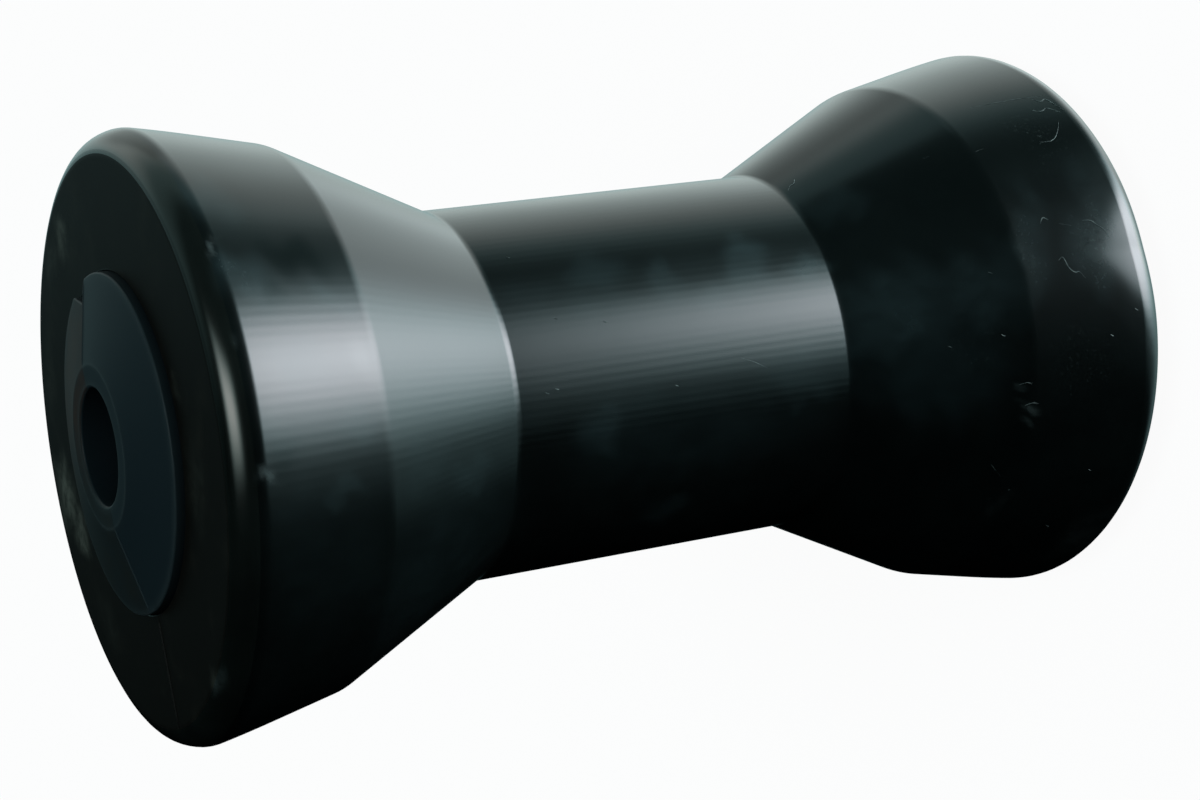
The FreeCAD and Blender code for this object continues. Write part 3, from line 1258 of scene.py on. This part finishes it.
@dataclass(frozen=True)
class PlasticCore:
    """The core: coned end discs with bearing lands, a tube between them and the bore."""

    sizes: RollerSizes = RollerSizes()
    bore_r: float = 10.5
    bore_break: float = 0.6
    land_r: float = 14.6
    rim: float = 196.6
    rim_break: float = 0.4
    gap_inner: float = 25.9
    gap_tip: Pair = (30.5, 11.5)
    gap_floor: float = 193.5
    gap_widest: float = 0.4
    step: float = 0.04
    land_ease: float = 0.25
    ridge_height: float = 0.16
    ridge_width: float = 0.2
    columns: int = 440
    face_from: float = 95.5
    edge_highlight_from: float = 94.0
    dark_below: float = 99.6
    pocket_below: float = 195.2

    def gap_edge(self, angle: Array) -> Array:
        """Radius of the short-moulded corner's inner edge at each angle, and the hub's elsewhere.

        The edge is the straight line from (-gap_inner, 0) to (-gap_tip[0], -gap_tip[1]). At
        a turn b past 180 degrees it lies at t = gap_inner tan b / (tip_y - (tip_x -
        gap_inner) tan b) of its length, so its radius is the x of that point over cos b.

        Args:
            angle: angles round the axis in radians.

        Returns:
            The radii in mm.
        """
        past = np.radians(wrap(np.degrees(angle) - 180.0))
        there = (past > 0.0) & (past < self.gap_widest)
        past = np.clip(past, 0.0, self.gap_widest)
        slant = np.tan(past)
        reach = self.gap_tip[0] - self.gap_inner
        part = self.gap_inner * slant / (self.gap_tip[1] - reach * slant)
        edge = (self.gap_inner + reach * part) / np.cos(past)
        return np.where(there, np.minimum(edge, self.sizes.hub_r), self.sizes.hub_r)

    def end_rows(self, edge: Array | float) -> list[tuple]:
        """Rows of an end face, from the bore's mouth over the land and the cone to the rim.

        Args:
            edge: radius of the rim, at each angle or all round.

        Returns:
            Radius, depth under the land and the two parts of the normal for each row.
        """
        slope = (self.sizes.height - self.rim) / (self.sizes.hub_r - self.land_r)
        tilt, quarter, rows = math.atan(slope), math.pi / 2, []
        for swing in np.linspace(0.0, 1.0, 5) * quarter:
            cos, sin = math.cos(swing), math.sin(swing)
            radius = self.bore_r + self.bore_break * (1 - cos)
            rows.append((radius, self.bore_break * (1 - sin), -cos, sin))
        mouth = self.bore_r + self.bore_break + 0.3
        rows += [(radius, 0.0, 0.0, 1.0) for radius in np.linspace(mouth, self.land_r - 0.5, 4)]
        for part in np.linspace(0.0, 1.0, 4):
            radius = self.land_r + self.land_ease * (2 * part - 1)
            depth = self.land_ease * slope * part**2
            rows.append((radius, depth, math.sin(part * tilt), math.cos(part * tilt)))
        inner, outer = self.land_r + 0.5, edge - self.rim_break
        for part in np.linspace(0.0, 1.0, 14):
            radius = inner + (outer - inner) * part
            rows.append((radius, (radius - self.land_r) * slope, math.sin(tilt), math.cos(tilt)))
        for part in np.linspace(0.25, 1.0, 4):
            swing = tilt + (quarter - tilt) * part
            cos, sin = math.cos(swing), math.sin(swing)
            radius = edge - self.rim_break * (1 - sin) / (1 - math.sin(tilt))
            drop = (outer - self.land_r) * slope + self.rim_break * (math.cos(tilt) - cos)
            rows.append((radius, drop, sin, cos))
        return rows

    def rows(self, edge: Array) -> list[tuple]:
        """All rows of the core, from the upper mouth of the bore round to the bore's wall.

        The rows under the upper rim follow the edge of the short-moulded corner, then step
        down its wall, cross its floor and go on down the hub's side. Elsewhere the same
        rows lie close together on the hub's side.

        Args:
            edge: radius of the upper rim at each angle.

        Returns:
            Radius, height and the two parts of the normal for each row.
        """
        s = self.sizes
        short = np.where(edge < s.hub_r - 1e-6, 1.0, 0.0)
        whole = 1.0 - short
        rows = [(r, s.height - depth, nr, nz) for r, depth, nr, nz in self.end_rows(edge)]
        rows += [
            (edge, self.gap_floor + 0.5, 1.0, 0.0),
            (edge, self.gap_floor + self.step, 1.0, 0.0),
            (edge + self.step * short, self.gap_floor, whole, short),
            (s.hub_r - 0.02 * short, self.gap_floor - 0.1 * whole, whole, short),
            (s.hub_r, self.gap_floor - 0.5, 1.0, 0.0),
        ]
        back = math.atan2(s.hub_r - s.tube_r, s.disc_back - s.tube_top)
        neck = [
            (s.hub_r, s.disc_back + 0.1, 1.0, 0.0),
            (s.hub_r - 0.05, s.disc_back - self.step, math.cos(back), -math.sin(back)),
            (s.tube_r + 0.05, s.tube_top + self.step, math.cos(back), -math.sin(back)),
        ]
        tube = np.linspace(s.tube_top - 0.1, s.height - s.tube_top + 0.1, 5)
        rows += neck + [(s.tube_r, height, 1.0, 0.0) for height in tube]
        rows += [(r, s.height - z, nr, -nz) for r, z, nr, nz in reversed(neck)]
        rows.append((s.hub_r, s.height - self.rim + self.rim_break + 2.0, 1.0, 0.0))
        rows += [(r, depth, nr, -nz) for r, depth, nr, nz in reversed(self.end_rows(s.hub_r))]
        bore = np.linspace(12.0, s.height - 12.0, 9)
        return rows + [(self.bore_r, height, -1.0, 0.0) for height in bore]

    def mesh(self) -> bpy.types.Mesh:
        """The core as one closed surface of turn and row, with its thin moulding ridges.

        Returns:
            The mesh with its masks.
        """
        s = self.sizes
        angle = turning_angles(self.columns, (0.0, 180.0))
        columns = zip(*self.rows(self.gap_edge(angle)))
        section = tuple(np.stack([np.broadcast_to(v, angle.shape) for v in c]) for c in columns)
        r, z, _, nz = section
        here = wrap(np.degrees(angle))
        there = wrap(np.degrees(angle) - 180.0)
        arc = np.radians(np.where(np.abs(here) < 90.0, here, there))[None] * r
        high = np.abs(z - s.height / 2)
        facing = np.abs(nz) > 0.6
        coned = facing & (r > self.land_r + 0.3) & (r < s.hub_r - 1.0) & (high > self.face_from)
        ridge = np.where(coned, self.ridge_height * bell(arc, 0.0, self.ridge_width), 0.0)
        gaps = np.hypot(np.diff(r.mean(1)), np.diff(z.mean(1)))
        along = np.append(0.0, np.cumsum(gaps))
        mesh = turned_mesh("hub_core", angle, section, ridge, along, s.height)
        far = np.clip(0.5 - r * np.sin(angle)[None] / 0.6, 0.0, 1.0) * facing
        put_attribute(mesh, "far_half", far)
        halves = (0.5 * (far + np.roll(far, -1, axis=1)) > 0.5).astype(np.int32)
        mesh.polygons.foreach_set("material_index", halves.ravel())
        # mask of the painted highlight lines on the edges and the parting ridge
        mouth = self.bore_r + self.bore_break
        painted_edge_highlight = 0.55 * bell(r, self.land_r, 0.35) + 0.45 * bell(r, mouth, 0.4)
        painted_edge_highlight = painted_edge_highlight + 0.5 * bell(r, s.hub_r - 0.2, 0.4) * (high > self.face_from)
        painted_edge_highlight = painted_edge_highlight + 0.5 * bell(arc, 0.0, 0.3) * coned
        put_attribute(mesh, "painted_edge_highlight", np.clip(painted_edge_highlight * (high > self.edge_highlight_from), 0.0, 1.0))
        # mask of the painted shade inside the bore and the short-moulded pocket
        bore_shade = np.clip((self.dark_below - high) / 2.0, 0.0, 1.0) * (r < self.bore_r + 0.4)
        pocket_shade = (z < self.pocket_below) & (z > s.height / 2) & (r > self.gap_inner - 1.0)
        put_attribute(mesh, "painted_recess_shade", np.clip(bore_shade + pocket_shade, 0.0, 1.0))
        return mesh

    def build(self, finish: CoreFinish) -> bpy.types.Object:
        """Makes the piece that stands for the CAD core."""
        materials = [finish.build(half) for half in CoreHalf]
        return place_piece("hub_core", self.mesh(), materials, Node.CORE)


def photo_marks() -> tuple[Mark, ...]:
    """The fingermarks with their painted sheen, dust and specks of the near side, and a few on the
    far side.

    A row is turn, way, half_turn, half_way and amount, then slant where it has one.

    Returns:
        The marks, kind by kind.
    """
    prints_and_sheen = (
        # barrel: finger marks whose painted sheen carries some light into the dark band
        (-31, 112, 12, 8, 0.38), (-23, 107, 8, 7, 0.2), (-26, 125, 10, 4.5, 0.45),
        (-30, 143.8, 13, 6.2, 0.8), (-24, 141, 8, 6.5, 0.65), (-24, 155.5, 6, 6, 0.85),
        (-26, 98, 8, 7, 0.1), (-18, 134, 6, 5, 0.4), (17, 106.8, 12, 6.5, 0.5),
        (50, 123, 9, 8, 0.22), (16, 148.2, 9, 2.6, 0.25), (12, 112, 13, 14, 0.16),
        (8, 151, 14, 14, 0.36), (22, 128, 22, 38, 0.15),
        # flank and flange on the left
        (21, 77, 8, 9, 0.24), (14, 65, 8, 9, 0.16), (14, 46, 4, 6, 0.3),
        (-26, 34.5, 7, 7.5, 0.7, 14), (-44, 34, 9, 7, 0.45), (16, 37, 9, 7, 0.12),
        (42, 72, 34, 26, 0.16), (26, 44, 26, 18, 0.09), (-20.5, 50, 5, 6, 0.5),
        (2.5, 50.5, 5, 5.5, 0.42), (-10, 41, 8, 8, 0.45, 20),
        # flank and flange on the right
        (-4, 170, 20, 18, 0.58), (-6, 186, 14, 14, 0.42), (12, 176, 20, 20, 0.26),
        (-42, 167, 9, 9, 0.35), (-13, 198.3, 16, 6, 0.42, -12), (-24, 201, 10, 3.4, 0.25),
        (-12, 211, 14, 9, 0.5, -8), (-24, 214, 10, 5, 0.22),
        # the side that the photo doesn't show
        (-150, 120, 22, 10, 0.5, 15), (-190, 70, 16, 9, 0.4, -20), (-215, 185, 20, 9, 0.5, 10),
        (-120, 205, 18, 7, 0.4), (-240, 45, 14, 9, 0.4, 30), (-165, 42, 16, 7, 0.3, -15),
    )
    dust = (
        (-12, 211, 11, 6, 0.045, -8), (-13, 196.5, 10, 2.5, 0.035), (-31, 30.4, 3, 1.3, 0.25),
        (9.5, 31.2, 1.8, 2.4, 0.16), (-15, 29.8, 3, 1.2, 0.08), (15.5, 193.2, 1.6, 1.8, 0.07),
        (20.4, 194.4, 1.8, 2, 0.1), (24.6, 193.8, 1.6, 1.4, 0.05), (46, 193.5, 6, 1.6, 0.02),
        (58, 216, 14, 6, 0.03), (-200, 212, 24, 5, 0.1), (-160, 92, 12, 2.5, 0.06),
        (-170, 143, 10, 5, 0.05, 20),
        # end face: the stained far edge and the worn patches near the hub
        (170, 14, 12, 8.5, 0.26), (157, 9.5, 9, 6.5, 0.22), (-119, 14, 6, 6, 0.16),
        (-131, 17, 9, 4, 0.05), (-160, 15, 18, 5, 0.03), (-13, 3.6, 8, 1.4, 0.06),
        (53, 21.8, 5, 3.6, 0.085), (13, 6, 18, 7, 0.03), (130, 12, 16, 6, 0.02),
    )
    specks = (
        (-12, 211, 16, 8, 0.16), (-13, 198, 16, 5, 0.09), (-40, 210, 14, 8, 0.1),
        (10, 205, 16, 12, 0.04), (5, 184, 12, 10, 0.06), (-5, 104, 26, 14, 0.05),
        (-110, 14, 50, 8, 0.07), (165, 12, 30, 9, 0.1), (-13, 5, 14, 4, 0.08),
        (-200, 205, 30, 10, 0.12), (-180, 60, 40, 20, 0.05), (-28, 33, 12, 5, 0.06),
    )
    polished = (
        (-30, 46, 6, 8.5, 0.9, -12), (-32, 186, 12, 14, 0.35), (3, 35, 6.5, 6.5, 0.55),
        (-21, 39, 4, 5, 0.4), (-9, 53.5, 7, 3, 0.4),
    )
    kinds = (
        (MarkKind.PRINT, 0.8, prints_and_sheen), (MarkKind.DUST, 0.9, dust),
        (MarkKind.SPECKLE, 1.0, specks), (MarkKind.POLISH, 0.9, polished),
    )
    return tuple(Mark(kind, *row, soft=soft) for kind, soft, rows in kinds for row in rows)


def photo_fibres() -> tuple[Fibre, ...]:
    """The fibres and specks of the photo, as bends in turn and way."""
    curled = (
        ((-9.6, 202.8), (-10.6, 203.8), (-7.6, 204.4), (-6.4, 205.6), (-6.8, 206.4), (-5, 207.4)),
        ((-17, 209.9), (-16.8, 211.6), (-15.6, 212.4), (-14.4, 213.8), (-12.8, 214.4)),
        ((-18.2, 201.4), (-19.6, 202.2), (-18.6, 203.2)),
        ((-37, 209.2), (-36.2, 211.4), (-37.4, 213.4), (-41, 215.8)),
        ((-46, 212.6), (-44.6, 214), (-45.8, 215.6), (-43.2, 217.6)),
        ((-50.2, 214.2), (-47.4, 215.6), (-48.6, 217), (-45.8, 217.8), (-43.6, 218.6)),
        ((-56.6, 161.8), (-58.4, 162.8), (-58, 163.8), (-60, 164.6)),
    )
    straight = (
        ((-52.4, 202.2), (-51.2, 209.2), (-49.4, 217.2)), ((1.4, 136.6), (3, 139.2), (5.6, 142)),
        ((16, 192), (15.4, 193.6), (15.8, 194.6)), ((20.8, 193.4), (20, 194.8), (20.4, 196)),
        ((36, 189), (39, 191.6)), ((46, 190.8), (42, 194.2)), ((-43.4, 186.6), (-43, 187.8)),
        ((-39, 196), (-39.2, 197.8)), ((-17.4, 205), (-16.4, 207.4)),
    )
    specks = (
        (-41, 96.7), (-18, 101), (-15, 110.4), (3.4, 96.4), (2.6, 98.4), (6.8, 122.6),
        (-9.8, 189), (4.6, 189.4), (6, 179.2), (7.4, 211.4), (53.6, 206.4), (37, 209.8),
        (2.8, 217),
    )
    short = [
        ((turn - 0.3, way - 0.35), (turn, way), (turn + 0.2, way + 0.4)) for turn, way in specks
    ]
    groups = ((0.12, curled), (0.06, straight), (0.12, short))
    return tuple(Fibre(bends, thick) for thick, group in groups for bends in group)


def write_sizes() -> None:
    """Brings the view layer up to date."""
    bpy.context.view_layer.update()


def main() -> None:
    """Builds the view, the studio, the floor and the roller in order."""
    logging.basicConfig(level=logging.INFO, format="%(name)s: %(message)s")
    bpy.context.scene.view_settings.view_transform = "Standard"
    view = PhotoView()
    view.build()
    StudioSky(view).build()
    PaleFloor().build()
    rubber = RubberBody()
    rubber.build(RubberFinish(), photo_marks())
    PlasticCore().build(CoreFinish())
    Lint(photo_fibres()).build(rubber, LintFinish())
    write_sizes()


if __name__ == "__main__":
    main()
